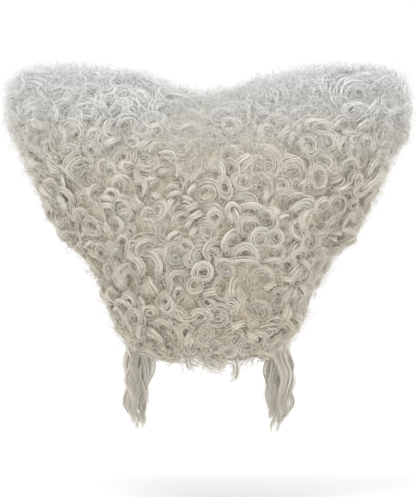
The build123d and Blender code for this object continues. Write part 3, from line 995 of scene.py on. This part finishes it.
def weave_material(name, light, dark, pitch, roughness=0.85, **settings):
    """Cloth woven of two crossing sets of yarns, whose colour and height follow the weave."""
    material, tree, shader = new_material(name, roughness, **settings)
    place = tree.nodes.new("ShaderNodeTexCoord")
    waves = []
    for direction in ("Z", "DIAGONAL"):
        wave = add_node(tree, "ShaderNodeTexWave", Scale=1 / pitch / 2, Distortion=0.6, Detail=1.0)
        wave.bands_direction = direction
        tree.links.new(place.outputs["Object"], wave.inputs["Vector"])
        waves.append(wave.outputs["Fac"])
    crossing = math_node(tree, "MULTIPLY", *waves)
    tree.links.new(ramp(tree, crossing, ((0.0, dark), (0.7, light))), shader.inputs["Base Color"])
    add_bump(tree, shader, crossing, 0.5, 0.3 * MM)
    return material


def grained_material(name, light, dark, scale, roughness, **settings):
    """A plain stuff with fine uneven grain."""
    material, tree, shader = new_material(name, roughness, **settings)
    noise = grain(tree, scale, 4.0)
    tree.links.new(ramp(tree, noise, ((0.3, dark), (0.7, light))), shader.inputs["Base Color"])
    add_bump(tree, shader, noise, 0.3, 0.2 * MM)
    return material


def metal_material(name, light, dark, scale, roughness):
    """Bare metal with fine uneven grain."""
    return grained_material(name, light, dark, scale, roughness, Metallic=1.0)


def make_looks():
    """The materials of everything but the hair."""
    cream, ivory, white = (0.80, 0.76, 0.66), (0.86, 0.83, 0.76), (0.90, 0.89, 0.86)
    shadow = (0.58, 0.53, 0.43)
    return {
        "net": grained_material("net_yarn", ivory, cream, 900.0, 0.7),
        "thread": grained_material("sewing_thread", white, ivory, 900.0, 0.6),
        "rubber": grained_material("covered_rubber", ivory, cream, 700.0, 0.75),
        "nylon": grained_material("hook_nylon", white, ivory, 500.0, 0.35),
        "binding": weave_material("binding_cloth", ivory, shadow, 0.5 * MM),
        "elastic": weave_material("elastic_cloth", white, cream, 0.6 * MM),
        "tape": weave_material("track_tape", white, shadow, 0.7 * MM),
        "label": weave_material("label_satin", white, ivory, 0.25 * MM, 0.4),
        "fleece": grained_material("fastener_backing", white, ivory, 600.0, 0.9),
        "metal": metal_material("clip_metal", (0.62, 0.62, 0.63), (0.5, 0.5, 0.51), 300.0, 0.3),
        "stay": metal_material("stay_metal", (0.70, 0.69, 0.67), (0.6, 0.59, 0.57), 200.0, 0.4),
        "wire": metal_material("hoop_wire", (0.45, 0.45, 0.46), (0.36, 0.36, 0.37), 250.0, 0.35),
        "foam": grained_material("pad_foam", (0.88, 0.86, 0.78), (0.70, 0.66, 0.55), 350.0, 0.95),
    }


NODE_LOOKS = {
    "binding": ("front_band", "nape_band", "ear_tab_left", "ear_tab_right"),
    "elastic": ("back_elastic_strips", "adjuster_strap_left", "adjuster_strap_right",
                "strap_casing_left", "strap_casing_right"),
    "tape": (*[f"weft_track_{number}" for number in range(1, 7)], "tress_track_left", "tress_track_right"),
    "label": ("blank_label",),
    "fleece": ("loop_pad", "hook_patch_left", "hook_patch_right"),
    "metal": ("front_clip_plate", "front_clip_leaf", "side_clip_plate_left", "side_clip_plate_right",
              "side_clip_leaf_left", "side_clip_leaf_right"),
    "stay": ("ear_stay_left", "ear_stay_right"),
    "wire": ("wing_hoop_left", "wing_hoop_right"),
    "foam": ("wing_pad_left", "wing_pad_right"),
}


def dress_nodes(looks):
    """Gives each CAD node that stays visible its material."""
    for look, nodes in NODE_LOOKS.items():
        for name in nodes:
            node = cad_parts[name]
            node.data.materials.clear()
            node.data.materials.append(looks[look])


# --- stage ----------------------------------------------------------------------------------------


def make_camera():
    """The photograph's view: level, from straight behind, a long lens."""
    distance = 2.6
    frame_height = 0.527
    centre_level = -0.0726
    camera = new_object("camera", bpy.data.cameras.new("camera"))
    camera.data.sensor_width = 36.0
    camera.data.lens = 36.0 * distance / frame_height
    camera.location = (0, distance, centre_level)
    camera.rotation_euler = (math.radians(90), 0, math.radians(180))
    camera.data.clip_end = 50
    bpy.context.scene.camera = camera


def area_light(name, place, target, size, power):
    """A square white lamp that faces a target."""
    data = bpy.data.lights.new(name, "AREA")
    data.size = size
    data.energy = power
    light = new_object(name, data)
    light.location = place
    light.rotation_euler = (Vector(target) - Vector(place)).to_track_quat("-Z", "Y").to_euler()


def make_backdrop(level):
    """A pale floor that turns up far away, all round, so that no horizon shows."""
    flat, bend, sectors, rings = 6.0, 3.0, 64, 12
    profile = [(0.0, 0.0), (flat, 0.0)]
    for number in range(1, rings + 1):
        turn = math.radians(70) * number / rings
        profile.append((flat + bend * math.sin(turn), bend * (1 - math.cos(turn))))
    places, faces = [], []
    for radius, rise in profile[1:]:
        for sector in range(sectors):
            angle = 2 * math.pi * sector / sectors
            places.append((radius * math.cos(angle), radius * math.sin(angle), level + rise))
    for ring in range(len(profile) - 2):
        for sector in range(sectors):
            after = (sector + 1) % sectors
            low, high = ring * sectors, (ring + 1) * sectors
            faces.append((low + sector, high + sector, high + after, low + after))
    faces.append(tuple(range(sectors)))
    mesh = bpy.data.meshes.new("floor")
    mesh.from_pydata(places, [], faces)
    mesh.polygons.foreach_set("use_smooth", [True] * len(faces))
    floor = new_object("floor", mesh)
    material, _, shader = new_material("floor_paper", 0.9)
    shader.inputs["Base Color"].default_value = (0.97, 0.97, 0.97, 1)
    mesh.materials.append(material)


def make_stage():
    """A white room, with a soft key light from above the camera's left and a weak fill."""
    world = bpy.data.worlds.new("studio")
    bpy.context.scene.world = world
    world.use_nodes = True
    background = world.node_tree.nodes["Background"]
    background.inputs["Color"].default_value = (1, 1, 1, 1)
    background.inputs["Strength"].default_value = 1.04
    bpy.context.scene.view_settings.view_transform = "Standard"
    make_backdrop(CAD_BOX[0].z - FLOOR_DROP)
    area_light("key", (0.5, 1.3, 2.3), (0, 0, 0), 1.2, 22)
    area_light("fill", (-1.6, 1.5, 0.4), (0, 0, -0.05), 1.6, 2)


def main():
    """Builds the stage, the hair and the cap."""
    make_camera()
    make_stage()
    curls = fibre_material("curly_fibre", CREAM_STOPS, WHITE_STOPS, 0.5)
    lengths = fibre_material("long_fibre", CREAM_STOPS, WHITE_STOPS, 0.38)
    skin = outer_skin()
    curly_pieces(skin, curls)
    frizz_piece(skin, curls)
    under_layer(curls)
    tress_pieces(lengths)
    looks = make_looks()
    cap_pieces(looks)
    dress_nodes(looks)


main()
